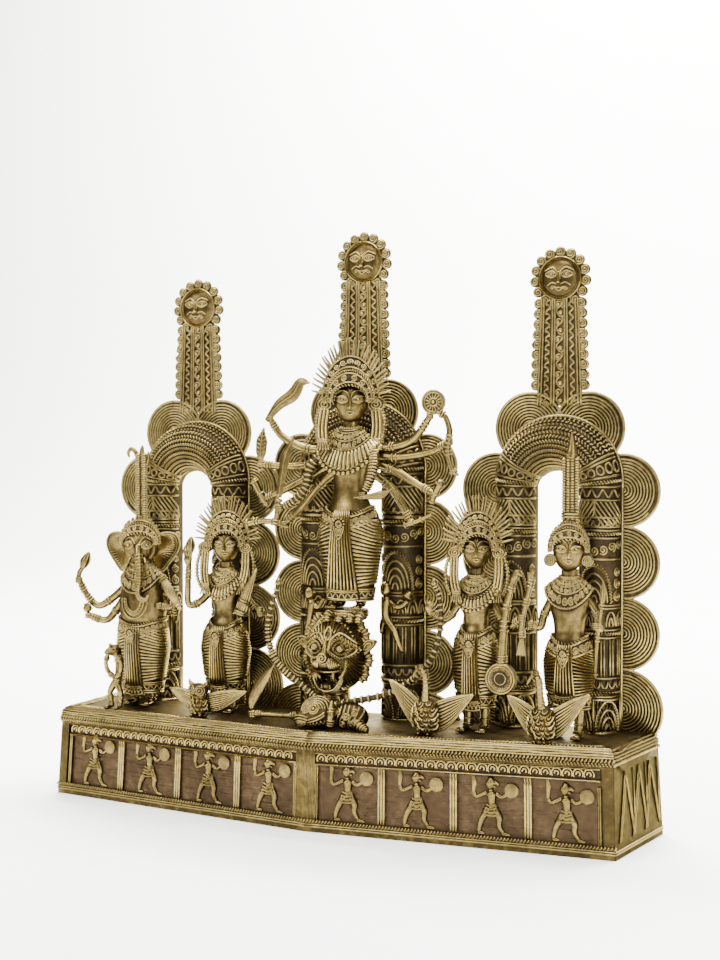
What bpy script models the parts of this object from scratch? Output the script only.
"""A cast brass altar group: a ten-armed goddess standing on her lion over the buffalo demon, four smaller
deities with their mounts, three decorated arches with sun-faced towers, and the bow-fronted plinth.

Metres, +X to the viewer's right, +Y to the back, +Z up.  The origin is the middle of the plinth's flat
underside.  Every figure is drawn in millimetres at its own drawn height and scaled to its height below.
"""
import bpy
import bmesh
from math import pi, sin, cos, atan2, radians, hypot
from mathutils import Matrix, Vector

GAP = 0.0003                 # clearance between castings that touch

# Plinth
PLINTH_WIDTH = 0.610         # across its front corners
PLINTH_SIDE = 0.112          # from a front corner to the back
PLINTH_BOW = 0.028           # how far the front's middle stands forward of its corners
PLINTH_FLARE = 0.017         # how far the right end runs outwards to the back
PLINTH_SKEW = 0.005          # how far the left end runs inwards to the back
PLINTH_LEFT = 0.091          # height at the left end
PLINTH_MIDDLE = 0.0925       # height at the middle
PLINTH_RIGHT = 0.098         # height at the right end
PLINTH_MIDDLE_X = 0.005      # where the two front halves meet
PLINTH_BATTER = 0.004        # how far the walls lean in
EDGE_ROUND = 0.0055          # rounding of the top edge
PANEL_MARGIN = 0.010         # plain edge at a front half's outer end and its foot
PANEL_TOP = 0.0165           # border above the panels
SEAM_BAND = 0.010            # plain band beside the middle seam
RECESS = 0.003               # depth of the panels' ground
PANELS = 4                   # panels on a front half
BAR_WIDTH = 0.007            # ribbed bar between two panels
WARRIOR_HEIGHT = 0.054
WARRIOR_RELIEF = 0.0028      # a warrior's height over the ground

# Arches
ARCH_SET_BACK = 0.0075       # side arches' backs to the plinth's back edge
CENTRE_FORWARD = 0.004       # the centre arch's discs pass in front of its neighbours'
PLATE = 0.003                # thickness of the discs
LEG_WIDTH = 0.040
LEG_BULGE = 0.024            # how far the half-round legs stand forward of the discs
CROWN_SWELL = 1.25           # the arch is this much thicker at its top
POST_RADIUS = 0.0018
SIDE_ARCH_WIDTH = 0.124
CENTRE_ARCH_WIDTH = 0.136
CENTRE_LEG_WIDTH = 0.044
LEFT_ARCH_X = -0.188
CENTRE_ARCH_X = 0.011
RIGHT_ARCH_X = 0.218
SIDE_CROWN_TOP = 0.301       # top of an arch over the plinth's top
CENTRE_CROWN_TOP = 0.321
SIDE_DISC = 0.036            # radius of the coiled discs
CENTRE_DISC = 0.0335
FOOT_DISC = 0.040            # radius of the discs that the plinth's top cuts off
FOOT_DISC_LAP = 0.004        # how far they reach over the disc above
TOP_DISC_OUT = 0.82          # the top discs' centres beside the arch's middle, in their radii
TOP_DISC_DROP = 0.30         # and below the top of the arch, in their radii
FIRST_DISC_DROP = 1.95       # the highest side disc's centre below the top of the arch, in its radii
SIDE_DISC_PITCH = 0.0685
CENTRE_DISC_PITCH = 0.066
LEFT_TOWER_TOP = 0.456       # top of a tower over the plinth's top
CENTRE_TOWER_TOP = 0.4945
RIGHT_TOWER_TOP = 0.466
TOWER_ROD = 0.0018           # radius of the rods up a tower
TOWER_FOOT_HALF = 0.0235     # half a tower's width inside its scallops, at the discs
TOWER_HEAD_HALF = 0.0195     # the same below the sun
SCALLOP = 0.0052             # radius of the small coils down a tower's edges
SUN_RADIUS = 0.031
SUN_RING = 0.0215
SUN_PETALS = 15
SUN_FACE = 0.006             # how far the sun's face bulges

# Figures, their heights from the surface that they stand on
FIGURE_GAP = 0.004           # from a deity's back to the arches' legs
BODY_HALF_DEPTH = 0.018      # from a deity's back to the middle of its foot
BODY_FLATTEN = 0.66          # a standing body's depth to its width
LION_FORWARD = 0.031         # the lion's middle stands this far in front of the arches' legs
MOUNT_FORWARD = 0.059        # the same for the mounts and the buffalo
ATTENDANT_HEIGHT = 0.058     # the small figures on the centre arch's legs
GODDESS_HEIGHT = 0.266
LION_HEIGHT = 0.1155
BUFFALO_HEIGHT = 0.0315      # to the top of the buffalo's head, without its horns
GANESHA_HEIGHT = 0.278
LAKSHMI_HEIGHT = 0.226
SARASWATI_HEIGHT = 0.231
KARTIKEYA_HEIGHT = 0.286
MOUSE_HEIGHT = 0.069
OWL_HEIGHT = 0.038
SWAN_HEIGHT = 0.071
PEACOCK_HEIGHT = 0.070
GODDESS_X = 0.020
LION_X = 0.006
BUFFALO_X = 0.003
GANESHA_X = -0.230
LAKSHMI_X = -0.128
SARASWATI_X = 0.150
KARTIKEYA_X = 0.243
MOUSE_X = -0.240
OWL_X = -0.137
SWAN_X = 0.114
PEACOCK_X = 0.229

BRASS = (0.47, 0.36, 0.17, 1.0)
DARK_BRASS = (0.34, 0.26, 0.13, 1.0)
MERGE = 0.00001
FLAT_ANGLE = radians(0.1)    # neighbouring faces this flat become one
KEEP = 0.62                  # share of a figure's triangles kept after its shapes are joined
KEEP_MANY_ARMS = 0.70        # the same for the goddess

BACK_Y = (PLINTH_SIDE + PLINTH_BOW) / 2
CORNER_Y = BACK_Y - PLINTH_SIDE
BOW_Y = -BACK_Y
PLATE_Y = BACK_Y - ARCH_SET_BACK - PLATE          # front face of the discs
LEG_FRONT_Y = PLATE_Y - LEG_BULGE


def plinth_top(x):
    """Height of the plinth's top at x: it rises from the left end, faster right of the middle."""
    if x < PLINTH_MIDDLE_X:
        share = (x + PLINTH_WIDTH / 2) / (PLINTH_MIDDLE_X + PLINTH_WIDTH / 2)
        return PLINTH_LEFT + (PLINTH_MIDDLE - PLINTH_LEFT) * share
    share = (x - PLINTH_MIDDLE_X) / (PLINTH_WIDTH / 2 - PLINTH_MIDDLE_X)
    return PLINTH_MIDDLE + (PLINTH_RIGHT - PLINTH_MIDDLE) * share


def new_collection(name):
    collection = bpy.data.collections.new(name)
    bpy.context.scene.collection.children.link(collection)
    return collection


def brass(name, colour, roughness):
    material = bpy.data.materials.new(name)
    material.use_nodes = True
    shader = material.node_tree.nodes["Principled BSDF"]
    shader.inputs["Base Color"].default_value = colour
    shader.inputs["Metallic"].default_value = 1.0
    shader.inputs["Roughness"].default_value = roughness
    material.diffuse_color = colour
    return material


def hide_cutter(obj):
    obj.hide_render = True
    obj.display_type = "WIRE"


def new_shape(name, mesh):
    obj = bpy.data.objects.new(name, mesh)
    cutters.objects.link(obj)
    hide_cutter(obj)
    return obj


def mesh_of(obj, weld=True):
    """Take an object's evaluated mesh into world space, weld a curve's caps and remove the object."""
    bpy.context.view_layer.update()
    graph = bpy.context.evaluated_depsgraph_get()
    mesh = bpy.data.meshes.new_from_object(obj.evaluated_get(graph))
    mesh.transform(obj.matrix_world)
    if weld:
        work = bmesh.new()
        work.from_mesh(mesh)
        bmesh.ops.remove_doubles(work, verts=work.verts, dist=MERGE)
        bmesh.ops.dissolve_limit(work, angle_limit=FLAT_ANGLE, verts=[], edges=work.edges)
        bmesh.ops.recalc_face_normals(work, faces=work.faces)
        work.to_mesh(mesh)
        work.free()
    name = obj.name
    bpy.data.objects.remove(obj)
    return new_shape(name, mesh)


def shape_from(name, work):
    mesh = bpy.data.meshes.new(name)
    work.to_mesh(mesh)
    work.free()
    return new_shape(name, mesh)


def ball(centre, radii, turn=None, segments=8, rings=6):
    """An egg with the given half sizes along its own axes."""
    spin = turn.to_4x4() if turn else Matrix.Identity(4)
    place = Matrix.Translation(centre) @ spin @ Matrix.Diagonal((*radii, 1.0))
    work = bmesh.new()
    bmesh.ops.create_uvsphere(work, u_segments=segments, v_segments=rings, radius=1.0, matrix=place)
    return shape_from("ball", work)


def cone(foot, tip, foot_radius, tip_radius, sides=6):
    """A round bar or cone between two points."""
    axis = Vector(tip) - Vector(foot)
    turn = axis.to_track_quat("Z", "Y").to_matrix().to_4x4()
    place = Matrix.Translation((Vector(foot) + Vector(tip)) / 2) @ turn
    work = bmesh.new()
    bmesh.ops.create_cone(work, cap_ends=True, segments=sides, radius1=foot_radius, radius2=tip_radius,
                          depth=axis.length, matrix=place)
    return shape_from("cone", work)


def shaped_box(place):
    """A cube whose corners, each -1 or 1 along an axis, are moved by place."""
    work = bmesh.new()
    bmesh.ops.create_cube(work, size=2.0)
    for vert in work.verts:
        vert.co = place(*vert.co)
    bmesh.ops.recalc_face_normals(work, faces=work.faces)
    return shape_from("box", work)


def box(centre, size):
    return shaped_box(lambda x, y, z: Vector(centre) + Vector((x * size[0], y * size[1], z * size[2])) / 2)


def poly_curve(name, points, radii=None, closed=False, flat=False):
    """A curve object through the points, straight from one to the next."""
    curve = bpy.data.curves.new(name, "CURVE")
    curve.dimensions = "2D" if flat else "3D"
    spline = curve.splines.new("POLY")
    spline.points.add(len(points) - 1)
    for knot, point in zip(spline.points, points):
        knot.co = (point[0], point[1], point[2] if len(point) > 2 else 0.0, 1.0)
    for knot, radius in zip(spline.points, radii or ()):
        knot.radius = radius
    spline.use_cyclic_u = closed
    obj = bpy.data.objects.new(name, curve)
    cutters.objects.link(obj)
    return obj


def sweep(name, points, radii, section, place, flat=False):
    """A closed section carried along the points and scaled by the radius at each."""
    outline = poly_curve("section", section, closed=True, flat=True)
    obj = poly_curve(name, points, radii, flat=flat)
    obj.data.bevel_mode = "OBJECT"
    obj.data.bevel_object = outline
    obj.data.use_fill_caps = True
    obj.matrix_world = place
    body = mesh_of(obj)
    bpy.data.objects.remove(outline)
    return body


def tube(points, radii, sides=6):
    """A round limb through the points, with its own radius at each."""
    section = [(cos(2 * pi * i / sides), sin(2 * pi * i / sides)) for i in range(sides)]
    return sweep("tube", points, radii, section, Matrix.Identity(4))


def plate(outline, thickness, place):
    """A flat outline given as x and z, standing in a vertical plane: place moves its middle plane."""
    obj = poly_curve("plate", outline, closed=True, flat=True)
    obj.data.fill_mode = "BOTH"
    obj.data.extrude = thickness / 2
    obj.matrix_world = place @ Matrix.Rotation(pi / 2, 4, "X")
    return mesh_of(obj)


def turned(profile, centre, flatten, steps=10):
    """A profile of radius and height, top to bottom, turned about Z and flattened front to back."""
    mesh = bpy.data.meshes.new("turned")
    ends = [(0.0, profile[0][1])] + list(profile) + [(0.0, profile[-1][1])]
    edges = [(i, i + 1) for i in range(len(ends) - 1)]
    mesh.from_pydata([(radius, 0.0, height) for radius, height in ends], edges, [])
    obj = bpy.data.objects.new("turned", mesh)
    cutters.objects.link(obj)
    screw = obj.modifiers.new("turn", "SCREW")
    screw.steps = screw.render_steps = steps
    screw.use_merge_vertices = True
    screw.merge_threshold = MERGE
    obj.matrix_world = Matrix.Translation(centre) @ Matrix.Diagonal((1.0, flatten, 1.0, 1.0))
    return mesh_of(obj)


def fuse(shapes, operation="UNION", target=None):
    """Join shapes into one closed body in one step, or cut them all from the target."""
    target = target or shapes[0]
    others = [shape for shape in shapes if shape != target]
    operands = bpy.data.collections.new("Operands")
    for shape in others:
        operands.objects.link(shape)
    boolean = target.modifiers.new("join", "BOOLEAN")
    boolean.operation = operation
    boolean.solver = "EXACT"
    boolean.operand_type = "COLLECTION"
    boolean.collection = operands
    result = mesh_of(target, weld=False)
    for shape in others:
        bpy.data.objects.remove(shape)
    bpy.data.collections.remove(operands)
    return result


def publish(name, body, material):
    """Name the finished casting, move it to the group's collection and shade its round faces smooth."""
    body.name = body.data.name = name
    cutters.objects.unlink(body)
    group.objects.link(body)
    body.hide_render = False
    body.display_type = "TEXTURED"
    body.data.materials.clear()
    body.data.materials.append(material)
    body.data.shade_smooth()
    body.data.set_sharp_from_angle(angle=radians(40))
    return body


def seat(body):
    """Cut a casting off just above the plinth's top, which it stands on."""
    left, right = -PLINTH_WIDTH, PLINTH_WIDTH
    outline = [(left, 0.0), (right, 0.0)]
    outline += [(x, plinth_top(x) + GAP) for x in (right, PLINTH_MIDDLE_X, left)]
    cutter = plate(outline, 4 * PLINTH_SIDE, Matrix.Identity(4))
    return fuse([cutter], "DIFFERENCE", body)


def slim(body, share):
    """Take out the sliver faces that joining leaves, keeping a share of all faces."""
    thin = body.modifiers.new("slim", "DECIMATE")
    thin.ratio = share
    return mesh_of(body, weld=False)


class Figure:
    """Shapes of one casting, drawn in millimetres from the middle of its foot and scaled to its height."""

    def __init__(self, name, foot, height, drawn_height):
        self.name = name
        self.foot = Vector(foot)
        self.unit = height / drawn_height
        self.keep = KEEP
        self.sole = -1.0
        self.shapes = []

    def at(self, point):
        return self.foot + Vector(point) * self.unit

    def ball(self, centre, radii, turn=None, segments=8, rings=6):
        sizes = [radius * self.unit for radius in radii]
        self.shapes.append(ball(self.at(centre), sizes, turn, segments, rings))

    def bar(self, foot, tip, foot_radius, tip_radius, sides=6):
        shape = cone(self.at(foot), self.at(tip), foot_radius * self.unit, tip_radius * self.unit, sides)
        self.shapes.append(shape)

    def limb(self, points, radii, sides=5):
        if not isinstance(radii, (list, tuple)):
            radii = [radii] * len(points)
        sizes = [radius * self.unit for radius in radii]
        self.shapes.append(tube([self.at(point) for point in points], sizes, sides))

    def turned(self, profile, x=0.0, y=0.0, flatten=1.0, steps=10):
        sized = [(radius * self.unit, height * self.unit) for radius, height in profile]
        self.shapes.append(turned(sized, self.at((x, y, 0.0)), flatten, steps))

    def plate(self, outline, thickness, centre, turn=None):
        sized = [(x * self.unit, z * self.unit) for x, z in outline]
        place = Matrix.Translation(self.at(centre)) @ (turn.to_4x4() if turn else Matrix.Identity(4))
        self.shapes.append(plate(sized, thickness * self.unit, place))

    def finish(self, material, seated=True):
        body = slim(fuse(self.shapes), self.keep)
        if seated:
            body = seat(body)
        return publish(self.name, body, material)


def ribs(count, top, bottom, top_radius, bottom_radius, swell):
    """Rounded ring folds down a garment: each is a crest and a hollow of the turned profile."""
    profile = []
    for i in range(2 * count + 1):
        share = i / (2 * count)
        radius = top_radius + (bottom_radius - top_radius) * share
        profile.append((radius + (swell if i % 2 else -swell), top + (bottom - top) * share))
    return profile


def fan(rays, inner, outer, start, end):
    """Outline of a spiked crown: rays of points round a half disc, from one angle to the other."""
    outline = []
    for i in range(2 * rays + 1):
        angle = radians(start + (end - start) * i / (2 * rays))
        reach = outer if i % 2 else inner
        outline.append((reach * cos(angle), reach * sin(angle)))
    return outline


def front_matrix(side, share, height, out):
    """Frame of a front half: X runs to the viewer's right along it, Y into the wall, Z up."""
    outer = Vector((side * PLINTH_WIDTH / 2, CORNER_Y, 0.0))
    middle = Vector((PLINTH_MIDDLE_X, BOW_Y, 0.0))
    along = (middle - outer) * -side
    along.normalize()
    inward = Vector((-along.y, along.x, 0.0))
    foot = outer.lerp(middle, share) - inward * out
    turn = Matrix((along, inward, Vector((0.0, 0.0, 1.0)))).transposed().to_4x4()
    return Matrix.Translation(foot + Vector((0.0, 0.0, height))) @ turn


def half_length():
    return hypot(PLINTH_WIDTH / 2 - PLINTH_MIDDLE_X, PLINTH_BOW)


def lean(height):
    """How far the battered wall has moved in at a height."""
    return PLINTH_BATTER * height / PLINTH_MIDDLE


def panel_box(side, x_near, x_far, low, high, depth_out, depth_in):
    """A block over a stretch of a front half, its top edge following the plinth's."""
    def place(x, y, z):
        x_here = x_near if x < 0 else x_far
        share = x_here / half_length()
        world_x = side * PLINTH_WIDTH / 2 * (1 - share) + PLINTH_MIDDLE_X * share
        height = low if z < 0 else plinth_top(world_x) - high
        out = (depth_out if y < 0 else -depth_in) - lean(height)
        return front_matrix(side, share, height, out) @ Vector()
    return shaped_box(place)


def warrior_outline(height):
    """A striding man with a raised sabre and a round shield, as shares of his height."""
    legs = [(-0.34, 0.0), (-0.16, 0.0), (-0.11, 0.19), (0.0, 0.34), (0.13, 0.20), (0.07, 0.0), (0.25, 0.0),
            (0.24, 0.22), (0.17, 0.44)]
    right_side = [(0.09, 0.56), (0.15, 0.68), (0.27, 0.69)]
    shield = [(0.38 + 0.13 * cos(radians(a)), 0.76 + 0.13 * sin(radians(a))) for a in range(-120, 150, 54)]
    head = [(0.06, 0.80), (0.10, 0.93), (0.03, 1.0), (-0.07, 1.0), (-0.10, 0.90), (-0.05, 0.83)]
    sword_arm = [(-0.12, 0.80), (-0.25, 0.71), (-0.33, 0.88), (-0.27, 1.05), (-0.41, 0.88), (-0.33, 0.61)]
    left_side = [(-0.16, 0.65), (-0.10, 0.56), (-0.23, 0.26)]
    outline = legs + right_side + shield + head + sword_arm + left_side
    return [(x * height, z * height) for x, z in outline]


def make_plinth(material):
    corners = [
        (-PLINTH_WIDTH / 2, CORNER_Y), (PLINTH_MIDDLE_X, BOW_Y), (PLINTH_WIDTH / 2, CORNER_Y),
        (PLINTH_WIDTH / 2 + PLINTH_FLARE, BACK_Y), (PLINTH_MIDDLE_X, BACK_Y),
        (-PLINTH_WIDTH / 2 + PLINTH_SKEW, BACK_Y),
    ]
    work = bmesh.new()
    base = work.faces.new([work.verts.new((x, y, 0.0)) for x, y in corners])
    raised = bmesh.ops.extrude_face_region(work, geom=[base])["geom"]
    top_verts = [item for item in raised if isinstance(item, bmesh.types.BMVert)]
    for vert in top_verts:
        inwards = Vector((-vert.co.x / (PLINTH_WIDTH / 2), -vert.co.y / BACK_Y, 0.0))
        if abs(vert.co.x - PLINTH_MIDDLE_X) < MERGE:
            inwards.x = 0.0
        vert.co += inwards * PLINTH_BATTER
        vert.co.z = plinth_top(vert.co.x)
    top_face = next(item for item in raised if isinstance(item, bmesh.types.BMFace))
    rim_edges = list(top_face.edges)
    bmesh.ops.connect_verts(work, verts=[v for v in top_verts if abs(v.co.x - PLINTH_MIDDLE_X) < MERGE])
    bmesh.ops.bevel(work, geom=rim_edges, offset=EDGE_ROUND, segments=2, profile=0.5, affect="EDGES")
    for vert in work.verts:
        vert.co.z = min(vert.co.z, plinth_top(vert.co.x))
    bmesh.ops.recalc_face_normals(work, faces=work.faces)
    body = shape_from("plinth", work)

    recesses, raised_work = [], []
    panel_end = half_length() - SEAM_BAND
    panel_width = (panel_end - PANEL_MARGIN - (PANELS - 1) * BAR_WIDTH) / PANELS
    for side in (-1, 1):
        recesses.append(panel_box(side, PANEL_MARGIN, panel_end, PANEL_MARGIN, PANEL_TOP, BAR_WIDTH, RECESS))
        for i in range(PANELS):
            start = PANEL_MARGIN + i * (panel_width + BAR_WIDTH)
            if i:
                raised_work.append(panel_box(side, start - BAR_WIDTH, start, PANEL_MARGIN - RECESS,
                                             PANEL_TOP - RECESS, 0.0, 2 * RECESS))
            share = (start + panel_width / 2) / half_length()
            thickness = WARRIOR_RELIEF + RECESS
            ground = -RECESS - lean(WARRIOR_HEIGHT / 2) + WARRIOR_RELIEF - thickness / 2
            place = front_matrix(side, share, PANEL_MARGIN + RECESS / 2, ground)
            raised_work.append(plate(warrior_outline(WARRIOR_HEIGHT), thickness, place))
    body = fuse(recesses, "DIFFERENCE", body)
    return publish("plinth", fuse([body] + raised_work), material)


def arch_band(x, plane, foot, width, leg_width, crown_top):
    """The half-round arch itself: a bulging profile swept up one leg, over the crown and down the other."""
    half_span = (width - leg_width) / 2
    crown_half = leg_width * CROWN_SWELL / 2
    spring = crown_top - crown_half - half_span
    steps = 8
    path = [(-half_span, -foot, 0.0)]
    radii = [1.0]
    for i in range(steps + 1):
        angle = pi - pi * i / steps
        path.append((half_span * cos(angle), spring + half_span * sin(angle), 0.0))
        radii.append(1.0 + (CROWN_SWELL - 1.0) * sin(angle))
    path.append((half_span, -foot, 0.0))
    radii.append(1.0)
    sections = 6
    profile = [(leg_width / 2 * cos(pi * i / sections), LEG_BULGE * sin(pi * i / sections))
               for i in range(sections + 1)]
    turn = Matrix.Rotation(pi / 2, 4, "X")
    place = Matrix.Translation((x, plane + 20 * MERGE, plinth_top(x))) @ turn
    band = sweep("band", path, radii, profile, place, flat=True)
    return band, spring


def outer_crossing(first, second):
    """Where two overlapping discs' rims cross, on the side away from the arch's middle."""
    (x1, z1, r1), (x2, z2, r2) = first, second
    apart = hypot(x2 - x1, z2 - z1)
    along = (r1 * r1 - r2 * r2 + apart * apart) / (2 * apart)
    across = max(r1 * r1 - along * along, 0.0) ** 0.5
    ux, uz = (x2 - x1) / apart, (z2 - z1) / apart
    return x1 + ux * along + uz * across, z1 + uz * along - ux * across


def rim(circle, start, end, points):
    """Points round a disc's rim, anticlockwise from one point to another."""
    x, z, radius = circle
    first = atan2(start[1] - z, start[0] - x)
    last = atan2(end[1] - z, end[0] - x)
    turn = (last - first) % (2 * pi)
    angles = [first + turn * i / points for i in range(points)]
    return [(x + radius * cos(angle), z + radius * sin(angle)) for angle in angles]


def tower_edge(foot, head, count):
    """The right edge of a tower: a row of small coils on a line that leans in."""
    edge = []
    for i in range(2 * count):
        share = i / (2 * count)
        half = TOWER_FOOT_HALF + (TOWER_HEAD_HALF - TOWER_FOOT_HALF) * share
        edge.append((half + (SCALLOP if i % 2 else SCALLOP / 3), foot + (head - foot) * share))
    return edge


def sun_edge(height):
    """The right half of the sun: round petals from above the tower to the top."""
    petal = 2 * pi / SUN_PETALS
    reach = SUN_RADIUS - SUN_RING
    edge = []
    for i in range(SUN_PETALS // 3, -1, -1):
        for share, depth in ((-0.32, 0.72), (0.0, 1.0), (0.32, 0.72)):
            angle = pi / 2 - petal * (i - share)
            radius = SUN_RING + reach * depth
            edge.append((radius * cos(angle), height + radius * sin(angle)))
    return edge[:-1]


def screen_outline(width, leg_width, crown_top, disc_radius, pitch, tower_top, full_discs):
    """The flat screen behind an arch: coiled discs up both sides, and the tower with its sun."""
    post = width / 2 + POST_RADIUS
    sunk = 4 * RECESS
    top_disc = (disc_radius * TOP_DISC_OUT, crown_top - disc_radius * TOP_DISC_DROP, disc_radius)
    first = crown_top - disc_radius * FIRST_DISC_DROP
    discs = [(post, first - i * pitch, disc_radius) for i in range(full_discs)]
    foot_disc = (post, discs[-1][1] - disc_radius - FOOT_DISC + FOOT_DISC_LAP, FOOT_DISC)
    chain = [foot_disc] + discs[::-1] + [top_disc]
    start = (post + (FOOT_DISC ** 2 - (foot_disc[1] + sunk) ** 2) ** 0.5, -sunk)
    right = []
    for circle, after in zip(chain, chain[1:]):
        end = outer_crossing(circle, after)
        right += rim(circle, start, end, 6)
        start = end
    tower_half = TOWER_FOOT_HALF + SCALLOP / 2
    rise = (disc_radius ** 2 - (tower_half - top_disc[0]) ** 2) ** 0.5
    tower_foot = top_disc[1] + rise
    right += rim(top_disc, start, (tower_half, tower_foot), 6)
    sun_height = tower_top - SUN_RADIUS
    sun = sun_edge(sun_height)
    tower_head = sun[0][1] - SCALLOP / 4
    coils = round((tower_head - tower_foot) / (2 * SCALLOP))
    right += tower_edge(tower_foot, tower_head, coils) + sun
    outer = right + [(-x, z) for x, z in reversed(right[:-1])]
    inner_half = width / 2 - leg_width
    crown_inner = crown_top - leg_width * CROWN_SWELL
    spring = crown_inner - inner_half
    inner = [(-inner_half, -sunk)]
    inner += [(-inner_half * cos(pi * i / 6), spring + inner_half * sin(pi * i / 6)) for i in range(7)]
    inner += [(inner_half, -sunk)]
    return outer + inner, tower_foot, sun_height


def make_arch(name, x, plane, width, leg_width, crown_top, disc_radius, pitch, tower_top, full_discs):
    """Screen, band, posts, sun and rods of an arch whose discs' front face is at y = plane."""
    ground = plinth_top(x)
    outline, tower_foot, sun_height = screen_outline(width, leg_width, crown_top, disc_radius, pitch,
                                                     tower_top, full_discs)
    shapes = [plate(outline, PLATE, Matrix.Translation((x, plane + PLATE / 2, ground)))]
    band, spring = arch_band(x, plane, 4 * RECESS, width, leg_width, crown_top)
    shapes.append(band)
    relief_y = plane - TOWER_ROD / 4
    for side in (-1, 1):
        edge = x + side * (width / 2 + POST_RADIUS / 2)
        low, high = (edge, relief_y, ground - 4 * RECESS), (edge, relief_y, ground + spring)
        shapes.append(cone(low, high, POST_RADIUS, POST_RADIUS, 5))
    dome = ball((x, relief_y, ground + sun_height), (SUN_RING * 0.9, SUN_FACE, SUN_RING * 0.9), segments=10)
    behind = box((x, plane + PLATE / 2 + SUN_FACE, ground + sun_height),
                 (2 * SUN_RADIUS, 2 * SUN_FACE, 2 * SUN_RADIUS))
    shapes.append(fuse([behind], "DIFFERENCE", dome))
    for share in (-0.88, -0.3, 0.3, 0.88):
        low = (x + share * TOWER_FOOT_HALF, relief_y, ground + tower_foot - disc_radius / 3)
        high = (x + share * TOWER_HEAD_HALF, relief_y, ground + sun_height - SUN_RING / 2)
        shapes.append(cone(low, high, TOWER_ROD, TOWER_ROD, 5))
    if name == "arch_centre":
        shapes += attendants(x, (width - leg_width) / 2, plane - LEG_BULGE, ground)
    return publish(name, seat(fuse(shapes)), dark_brass)


def attendants(x, leg_axis, front, ground):
    """Two small striding figures cast onto the centre arch's legs, the right one with a round shield."""
    left = Figure("left attendant", (x - leg_axis, front + 0.002, ground), ATTENDANT_HEIGHT, 58.0)
    left.limb([(-8, 0, 76), (-3, 0, 98), (-1, 0, 118)], 3.2, 4)
    left.limb([(-1, 0, 98), (3, 0, 74)], 2.6, 4)
    left.limb([(-2, 0, 116), (8, 0, 112), (10, 0, 119)], 2.2, 4)
    left.bar((-3, -1, 121), (-3, -1, 132), 4.4, 3.0, 5)
    right = Figure("right attendant", (x + leg_axis, left.foot.y, ground), ATTENDANT_HEIGHT, 58.0)
    right.limb([(-10, 0, 124), (-10, 0, 104), (-2, 0, 92), (7, 0, 72)], 3.0, 4)
    right.limb([(-9, 0, 104), (-15, 0, 92)], 2.6, 4)
    right.limb([(-10, 0, 121), (2, 0, 115), (14, 0, 124)], 2.4, 4)
    right.bar((16, -5, 127), (16, 1, 127), 5.0, 5.0, 6)
    right.bar((-10, -1, 129), (-10, -1, 140), 4.4, 3.0, 5)
    return left.shapes + right.shapes


def draped_body(figure, hem, hips, waist, chest, shoulders, neck, chin, folds, steps=8):
    """Skirt with ring folds, waist, chest and neck, each given as height and half width."""
    profile = [
        (neck, chin), (neck, shoulders[0] + 7), (shoulders[1] * 0.62, shoulders[0] + 3),
        (shoulders[1], shoulders[0] - 4), (chest[1], chest[0]), (waist[1], waist[0] + 6),
        (waist[1] + 1, waist[0]),
    ]
    profile += ribs(folds, hips[0], hem[0], hips[1], hem[1], 0.8)
    figure.turned(profile, flatten=BODY_FLATTEN, steps=steps)
    for side in (-1, 1):
        figure.shapes.append(foot_box(figure, side * hem[1] * 0.42, hem))


def foot_box(figure, x, hem):
    """A foot with its toes forward, from the ground up into the hem."""
    def place(side, y, z):
        reach = -17.0 if y < 0 else 7.0
        width = 5.0 if y < 0 else 4.0
        height = figure.sole if z < 0 else (5.0 if y < 0 else hem[0] + 4.0)
        return figure.at((x + side * width, reach if z < 0 or y < 0 else 5.0, height))
    return shaped_box(place)


def front_sash(figure, top, bottom, hips, hem):
    """A pleated band down the skirt's front, given as height and half width at both ends."""
    def place(x, y, z):
        height, half = top if z > 0 else bottom
        share = (hips[0] - height) / (hips[0] - hem[0])
        surface = (hips[1] + (hem[1] - hips[1]) * share) * BODY_FLATTEN
        return figure.at((x * half, -surface - 3.0 if y < 0 else -surface + 5.0, height))
    figure.shapes.append(shaped_box(place))


def collar(figure, neck, half, shoulder, foot, front):
    """A broad collar over the chest: from the neck out over the shoulders, its lower edge a half oval."""
    drop = shoulder - foot
    outline = [(half * cos(radians(a)), shoulder + drop * sin(radians(a))) for a in range(-180, 1, 30)]
    outline += [(9.0, neck), (-9.0, neck)]
    figure.plate(outline, 8.0, (0.0, front, 0.0))


def spiked_crown(figure, centre, rays, reach, start, end):
    """A fan of spikes behind a shallow dome."""
    x, z = centre
    figure.plate(fan(rays, reach * 0.72, reach, start, end), 4.0, (x, 2.0, z))
    dome = [(reach * 0.7 * cos(radians(a)), reach * 0.7 * sin(radians(a))) for a in range(0, 181, 36)]
    figure.plate(dome, 12.0, (x, -3.0, z))


def ear_drops(figure, inner, outer, height, tassel_foot, tassel_x):
    """Scrolled pads beside the face, a tassel hanging from each down onto the collar."""
    middle = (inner + outer) / 2
    for side in (-1, 1):
        figure.ball((side * middle, -2.0, height), ((outer - inner) / 2, 5.0, 6.0), segments=6, rings=4)
        figure.limb([(side * middle, -3.0, height), (side * tassel_x, -8.0, tassel_foot)], [2.4, 3.6], 4)


def face(figure, centre, radii):
    """A long oval head with a narrow ridge of a nose."""
    x, z = centre
    figure.ball((x, -1.0, z), radii)
    figure.bar((x, -radii[1] * 0.75, z - 5.0), (x, -radii[1] * 0.95, z + 6.0), 2.6, 1.2, 4)


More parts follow.
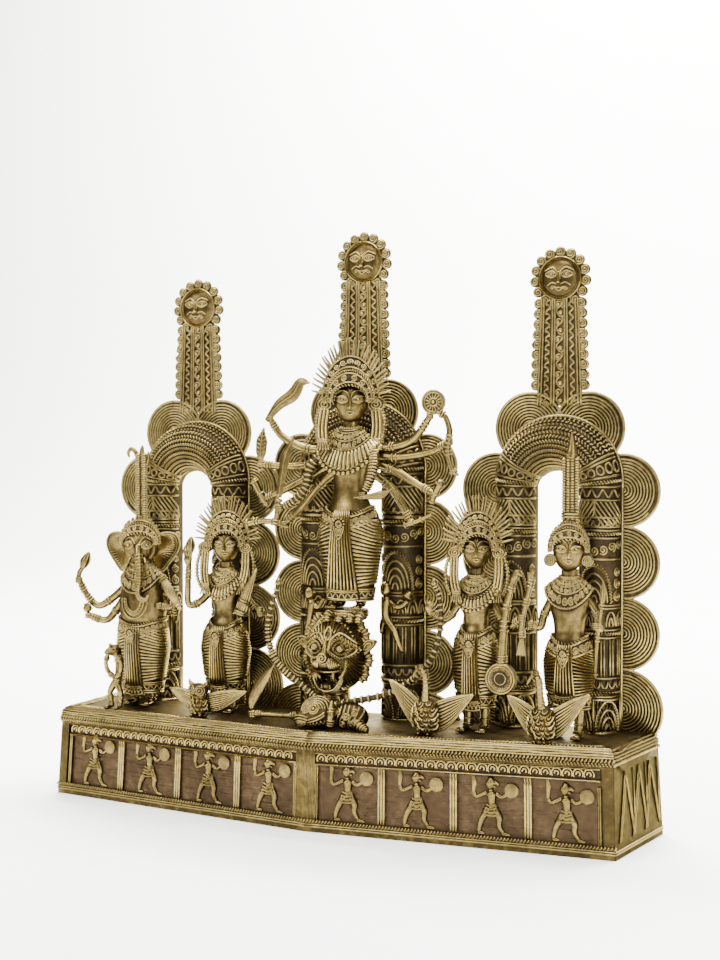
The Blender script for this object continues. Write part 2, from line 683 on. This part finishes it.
def make_goddess(material, y, ground):
    g = Figure("durga", (GODDESS_X, y, ground + GAP), GODDESS_HEIGHT, 266.0)
    g.keep = KEEP_MANY_ARMS
    g.sole = 0.0
    hips, hem = (84.0, 32.0), (10.0, 22.0)
    draped_body(g, hem, hips, (118.0, 17.5), (143.0, 20.0), (160.0, 27.0), 8.0, 192.0, 5, 10)
    front_sash(g, (92.0, 9.0), (8.0, 16.5), hips, hem)
    collar(g, 178.0, 34.0, 160.0, 132.0, -11.0)
    face(g, (1.0, 204.0), (15.0, 14.0, 18.5))
    spiked_crown(g, (0.0, 221.0), 21, 44.0, -10.0, 190.0)
    ear_drops(g, 13.0, 29.0, 200.0, 163.0, 27.0)

    # The right arms and what they hold, from the highest down
    g.limb([(16, 3, 157), (46, 2, 160), (68, 0, 168), (88, -4, 194)], [5.0, 4.6, 4.2, 2.6])
    g.bar((91, -6, 204), (91, -2, 204), 12.5, 12.5, 8)
    g.limb([(15, 2, 151), (50, 1, 150), (86, -3, 154), (108, -6, 166)], [5.0, 4.4, 4.0, 3.4])
    g.limb([(96, -9, 192), (109, -9, 176), (108, -9, 144), (116, -9, 133)], 2.4, 4)
    g.limb([(12, 2, 147), (45, 1, 138), (90, -3, 115)], [4.8, 4.2, 3.6])
    g.bar((88, -3, 106), (96, -6, 126), 3.0, 4.2, 5)
    g.limb([(10, 1, 141), (40, 1, 124), (68, -4, 86)], [4.8, 4.2, 3.6])
    g.bar((62, -5, 84), (88, -6, 94), 3.2, 2.0, 5)
    g.limb([(27, -6, 158), (31, -16, 135), (24, -24, 113)], [4.6, 5.4, 4.2])
    g.limb([(14, -26, 111), (34, -26, 113), (56, -24, 119)], [1.6, 3.2, 2.0], 4)

    g.limb([(-16, 3, 156), (-50, 2, 158), (-78, 0, 172), (-90, -2, 190)], [5.0, 4.6, 4.2, 3.2])
    g.limb([(-92, -4, 188), (-64, -4, 214), (-52, -4, 226), (-43, -4, 222)], [3.0, 4.4, 3.0, 2.0], 4)
    g.limb([(-15, 2, 150), (-49, 1, 142), (-100, -3, 142)], [4.8, 4.4, 3.6])
    g.limb([(-98, -5, 140), (-97, -6, 156), (-95, -6, 178)], [2.0, 6.5, 1.0], 4)
    g.limb([(-12, 2, 147), (-50, 0, 128), (-97, -4, 106)], [4.8, 4.2, 3.6])
    g.bar((-108, -6, 126), (-92, -5, 100), 3.6, 2.6, 5)
    g.limb([(-27, -6, 156), (-39, -14, 132), (-43, -18, 106), (-69, -25, 99)], [4.6, 5.0, 4.4, 3.6])
    g.limb([(-70, -25, 86), (-67, -25, 112), (-62, -24, 145), (-50, -21, 172)], [5.0, 4.6, 3.2, 0.8], 4)
    g.limb([(-10, 1, 141), (-42, -2, 112), (-70, -8, 82)], [4.8, 4.2, 3.8])
    g.limb([(-66, -8, 78), (-84, -9, 86), (-113, -9, 81)], [2.0, 3.0, 4.0], 4)
    return g.finish(material, seated=False)


def make_lion(material, y):
    lion = Figure("lion", (LION_X, y, plinth_top(LION_X)), LION_HEIGHT, 115.5)
    head = ball(lion.at((0, 0, 71)), [r * lion.unit for r in (31, 25, 38)], segments=10, rings=8)
    muzzle = ball(lion.at((-3, -18, 60)), [r * lion.unit for r in (17, 12, 12)], segments=8, rings=6)
    mouth = box(lion.at((-3, -27, 46)), [size * lion.unit for size in (23, 26, 15)])
    lion.shapes.append(fuse([mouth], "DIFFERENCE", fuse([head, muzzle])))
    for x in (-10, 6):
        lion.bar((x, -19, 56), (x, -20, 45), 2.2, 0.6, 4)
    for side in (-1, 1):
        lion.bar((side * 26, 0, 76), (side * 38, -2, 83), 6.0, 2.0, 4)
        for height, out in ((99, 19), (89, 25), (62, 29), (49, 23)):
            lion.bar((side * (out + 2), 2, height + 5), (side * (out + 3), 2, height - 6), 4.4, 4.4, 5)
    lion.turned([(20, 115.5), (21, 110), (16, 96)], x=12.0, flatten=0.75, steps=8)
    lion.limb([(2, 8, 62), (4, 12, 36), (6, 12, -2)], [17.0, 15.0, 18.0], 6)
    for x in (-12, 20):
        lion.limb([(x * 0.4, 8, 24), (x, -2, 12), (x * 1.2, -8, -2)], [8.0, 6.0, 6.5])
    return lion.finish(material)


def make_buffalo(material, y):
    b = Figure("buffalo", (BUFFALO_X, y, plinth_top(BUFFALO_X)), BUFFALO_HEIGHT, 31.5)
    b.ball((-2, -6, 14.5), (20.0, 15.0, 17.0))
    b.ball((-13, -13, 11), (11.0, 8.0, 11.0), segments=6, rings=4)
    b.ball((34, 1, 13), (23.0, 12.0, 15.0))
    b.limb([(44, -6, 8), (58, -14, -2)], [5.5, 4.0], 4)
    b.limb([(2, -2, 22), (-37, 2, 48), (-54, 3, 62), (-62, 4, 80), (-62, 4, 104), (-51, 4, 143)],
           [3.6, 3.6, 3.6, 3.6, 3.4, 2.8])
    b.bar((-51, 4, 140), (-49, 4, 152), 4.4, 3.0, 5)
    b.limb([(6, 0, 20), (62, 13, 34), (80, 15, 43), (98, 14, 58), (112, 13, 76), (120, 12, 104),
            (119, 12, 130), (113, 12, 148)], [3.6, 3.6, 3.6, 3.6, 3.6, 3.4, 3.2, 2.4])
    b.limb([(-16, -4, 9), (-45, -5, 8), (-74, -6, 8)], [5.0, 3.4, 3.8])
    b.limb([(-77, -6, 4), (-75, -6, 14), (-68, -6, 31), (-52, -4, 58)], [3.0, 4.6, 6.0, 0.8], 4)
    return b.finish(material)


def deity(name, x, height, drawn_height, back):
    """One of the four smaller deities: its back stands in front of the arches' legs."""
    foot = (x, back - BODY_HALF_DEPTH, plinth_top(x))
    return Figure(name, foot, height, drawn_height)


def make_ganesha(material, back):
    f = deity("ganesha", GANESHA_X, GANESHA_HEIGHT, 278.0, back)
    hips, hem = (78.0, 29.0), (14.0, 21.0)
    draped_body(f, hem, hips, (92.0, 26.0), (104.0, 28.0), (131.0, 24.0), 11.0, 160.0, 4)
    front_sash(f, (84.0, 8.0), (13.0, 10.0), hips, hem)
    collar(f, 150.0, 27.0, 134.0, 114.0, -11.0)
    f.ball((-2, -2, 169), (18.0, 16.0, 20.0))
    for side in (-1, 1):
        ear = [(side * 12, 178), (side * 30, 184), (side * 42, 168), (side * 36, 148), (side * 24, 140),
               (side * 12, 158)]
        f.plate(ear if side > 0 else ear[::-1], 4.0, (-2.0, 2.0, 0.0))
    f.limb([(-2, -14, 172), (-4, -24, 150), (-4, -24, 122), (4, -24, 115)], [6.4, 5.0, 3.6, 2.6])
    f.turned([(8, 205), (19, 199), (21, 190), (18, 182)], x=-2, flatten=0.85, steps=8)
    f.limb([(-4, 2, 196), (-3, 2, 240), (-3, 2, 278)], [8.0, 6.5, 2.0])
    f.limb([(-3, 2, 256), (-19, 2, 272)], [2.4, 2.0], 4)
    f.limb([(-22, 3, 128), (-58, -4, 110), (-78, -8, 130)], [5.0, 4.4, 4.0])
    f.limb([(-78, -8, 127), (-74, -9, 144), (-67, -9, 158)], [3.4, 5.2, 1.0], 4)
    f.limb([(-20, -2, 116), (-42, -6, 92), (-68, -12, 95)], [5.0, 4.4, 4.0])
    f.limb([(22, 2, 128), (38, -4, 106), (28, -14, 108)], [5.0, 4.6, 4.0])
    f.limb([(32, -10, 138), (44, -12, 122), (54, -10, 104)], [4.0, 7.0, 3.0], 4)
    f.limb([(20, 2, 120), (36, 4, 90), (46, -9, 113)], [4.6, 4.2, 3.8])
    return f.finish(material)


def make_lakshmi(material, back):
    f = deity("lakshmi", LAKSHMI_X, LAKSHMI_HEIGHT, 226.0, back)
    hips, hem = (80.0, 26.5), (22.0, 19.0)
    draped_body(f, hem, hips, (103.0, 13.0), (118.0, 16.0), (131.0, 21.0), 6.5, 160.0, 4)
    front_sash(f, (88.0, 7.0), (18.0, 9.5), hips, hem)
    collar(f, 148.0, 24.0, 132.0, 112.0, -9.0)
    face(f, (1.0, 172.0), (12.5, 12.0, 17.0))
    spiked_crown(f, (1.0, 187.0), 15, 38.5, -10.0, 190.0)
    ear_drops(f, 10.0, 26.0, 171.0, 132.0, 22.0)
    f.limb([(-16, 3, 128), (-43, -2, 108), (-40, -6, 160)], [4.6, 4.0, 3.4])
    f.limb([(-41, -6, 156), (-40, -6, 168), (-39, -6, 178)], [2.6, 4.8, 0.8], 4)
    f.limb([(16, 3, 128), (40, -2, 100), (45, -10, 110)], [4.6, 4.2, 3.8])
    f.limb([(24, -13, 104), (33, -12, 128), (42, -10, 151)], [7.5, 5.0, 0.8])
    f.bar((24, -11, 108), (45, -10, 108), 3.2, 3.2, 4)
    return f.finish(material)


def make_saraswati(material, back):
    f = deity("saraswati", SARASWATI_X, SARASWATI_HEIGHT, 231.0, back)
    hips, hem = (86.0, 22.5), (24.0, 18.0)
    draped_body(f, hem, hips, (103.0, 12.0), (118.0, 15.0), (131.0, 20.0), 6.5, 160.0, 4)
    front_sash(f, (92.0, 7.0), (20.0, 9.0), hips, hem)
    collar(f, 149.0, 22.0, 132.0, 113.0, -9.0)
    face(f, (0.0, 173.0), (12.5, 12.0, 17.0))
    spiked_crown(f, (3.0, 191.0), 15, 40.0, -10.0, 190.0)
    ear_drops(f, 10.0, 26.0, 172.0, 130.0, 21.0)
    f.limb([(-15, 2, 128), (-30, -2, 105), (-42, -8, 116)], [4.6, 4.0, 3.4])
    f.plate([(-34, 104), (-28, 120), (-40, 128), (-50, 126), (-44, 108)], 4.0, (0.0, -8.0, 0.0))
    f.limb([(15, 2, 128), (33, -9, 102), (50, -12, 113)], [4.6, 4.2, 3.6])
    f.bar((31, -18, 54), (31, -10, 54), 15.5, 15.5, 8)
    f.limb([(31, -14, 60), (33, -13, 105), (43, -12, 154)], [3.4, 3.2, 1.6], 4)
    f.limb([(58, -11, 149), (50, -12, 113), (50, -12, 76)], [2.4, 3.4, 3.0], 4)
    return f.finish(material)


def make_kartikeya(material, back):
    f = deity("kartikeya", KARTIKEYA_X, KARTIKEYA_HEIGHT, 286.0, back)
    hips, hem = (80.0, 24.0), (28.0, 19.0)
    draped_body(f, hem, hips, (98.0, 14.0), (116.0, 17.0), (134.0, 20.0), 8.0, 160.0, 4)
    front_sash(f, (86.0, 7.0), (30.0, 10.0), hips, hem)
    collar(f, 150.0, 23.0, 133.0, 115.0, -9.0)
    face(f, (-1.0, 175.0), (15.5, 14.0, 20.0))
    for side in (-1, 1):
        f.bar((side * 19, -6, 168), (side * 19, -1, 168), 6.5, 6.5, 8)
    f.turned([(8, 204), (16, 200), (17.5, 192), (16, 184)], x=-1, flatten=0.9, steps=8)
    f.limb([(-1, 1, 198), (-2, 2, 236), (-3, 2, 286)], [8.5, 7.5, 1.6])
    f.limb([(-16, 2, 132), (-26, 0, 100), (-35, -6, 104)], [5.0, 4.4, 4.0])
    f.limb([(16, 2, 132), (30, 0, 104), (29, -8, 106)], [5.0, 4.4, 4.0])
    f.limb([(34, -9, 146), (28, -9, 110), (28, -9, 58)], [1.4, 2.8, 1.4], 4)
    return f.finish(material)


def make_mouse(material, y):
    m = Figure("mouse", (MOUSE_X, y, plinth_top(MOUSE_X)), MOUSE_HEIGHT, 69.0)
    m.ball((-1, -1, 62), (8.0, 8.0, 7.0), segments=6, rings=4)
    m.limb([(0, 4, 60), (2, 4, 44), (0, 0, 24)], [4.0, 4.8, 5.4])
    m.limb([(0, 0, 30), (-10, -1, 44), (-6, -3, 61)], [3.2, 2.8, 2.6], 4)
    m.limb([(1, 0, 32), (8, -3, 46), (4, -4, 60)], [3.0, 2.8, 2.6], 4)
    for side in (-1, 1):
        m.limb([(side * 1, 0, 27), (side * 6, 0, 15), (side * 5, -1, -1)], [4.0, 3.2, 3.2], 4)
        m.shapes.append(box(m.at((side * 5.5, -5, 1)), [size * m.unit for size in (6, 13, 6)]))
    return m.finish(material)


def wing(figure, root, tip, drop, depth, sweep_back):
    """A thin spread wing from its root to its tip, its lower edge bellied."""
    rx, rz = root
    tx, tz = tip
    outline = [(rx, rz), (tx, tz), (rx + (tx - rx) * 0.72, tz - drop * 0.75),
               (rx + (tx - rx) * 0.35, rz - drop * 0.9), (rx, rz - drop)]
    if tx > rx:
        outline.reverse()
    figure.plate(outline, 3.0, (0.0, depth, 0.0), Matrix.Rotation(radians(sweep_back), 3, "Z"))


def make_owl(material, y):
    o = Figure("owl", (OWL_X, y, plinth_top(OWL_X)), OWL_HEIGHT, 38.0)
    o.ball((0, 0, 12), (11.5, 9.5, 15.0), segments=6)
    o.ball((0, -3, 27), (11.0, 8.0, 8.0), segments=6, rings=4)
    for side in (-1, 1):
        o.bar((side * 6, -3, 29), (side * 9, -3, 38), 4.0, 1.4, 4)
    wing(o, (-6, 22), (-38, 26), 16, 3.0, -6.0)
    wing(o, (6, 22), (52, 29), 17, 3.0, 6.0)
    return o.finish(material)


def make_swan(material, y):
    b = Figure("swan", (SWAN_X, y, plinth_top(SWAN_X)), SWAN_HEIGHT, 71.0)
    b.ball((0, 0, 15), (12.0, 12.0, 17.0), segments=6)
    b.limb([(0, -2, 22), (0, -4, 46), (-4, -8, 67)], [5.4, 3.4, 4.0])
    b.limb([(-2, -8, 67), (-9, -11, 56)], [2.8, 1.2], 4)
    wing(b, (-5, 28), (-40, 51), 26, 1.0, -2.0)
    wing(b, (5, 28), (47, 42), 26, 1.0, 2.0)
    return b.finish(material)


def make_peacock(material, y):
    b = Figure("peacock", (PEACOCK_X, y, plinth_top(PEACOCK_X)), PEACOCK_HEIGHT, 70.0)
    b.ball((0, 0, 14), (12.0, 12.0, 16.0), segments=6)
    b.limb([(0, -2, 22), (-1, -4, 42), (-4, -7, 68)], [5.4, 3.6, 3.8])
    b.limb([(-3, -7, 66), (-12, -10, 54)], [2.8, 1.0], 4)
    wing(b, (-5, 26), (-36, 42), 24, 4.0, -4.0)
    wing(b, (5, 26), (44, 48), 25, 4.0, 4.0)
    return b.finish(material)


def main():
    make_plinth(plain_brass)
    side_sizes = (SIDE_ARCH_WIDTH, LEG_WIDTH, SIDE_CROWN_TOP, SIDE_DISC, SIDE_DISC_PITCH)
    make_arch("arch_left", LEFT_ARCH_X, PLATE_Y, *side_sizes, LEFT_TOWER_TOP, 3)
    make_arch("arch_right", RIGHT_ARCH_X, PLATE_Y, *side_sizes, RIGHT_TOWER_TOP, 3)
    centre_sizes = (CENTRE_ARCH_WIDTH, CENTRE_LEG_WIDTH, CENTRE_CROWN_TOP, CENTRE_DISC, CENTRE_DISC_PITCH)
    make_arch("arch_centre", CENTRE_ARCH_X, PLATE_Y - CENTRE_FORWARD, *centre_sizes, CENTRE_TOWER_TOP, 4)
    lion_y = LEG_FRONT_Y - LION_FORWARD
    mount_y = LEG_FRONT_Y - MOUNT_FORWARD
    back = LEG_FRONT_Y - FIGURE_GAP
    make_lion(plain_brass, lion_y)
    make_goddess(plain_brass, lion_y, plinth_top(LION_X) + LION_HEIGHT)
    make_buffalo(plain_brass, mount_y)
    make_ganesha(plain_brass, back)
    make_lakshmi(plain_brass, back)
    make_saraswati(plain_brass, back)
    make_kartikeya(plain_brass, back)
    make_mouse(plain_brass, mount_y)
    make_owl(plain_brass, mount_y)
    make_swan(plain_brass, mount_y)
    make_peacock(plain_brass, mount_y)


for old in list(bpy.data.objects):
    bpy.data.objects.remove(old)
group = new_collection("Brass goddess idol")
cutters = new_collection("Cutters")
plain_brass = brass("Cast brass, worn", BRASS, 0.42)
dark_brass = brass("Cast brass, dark", DARK_BRASS, 0.5)
main()
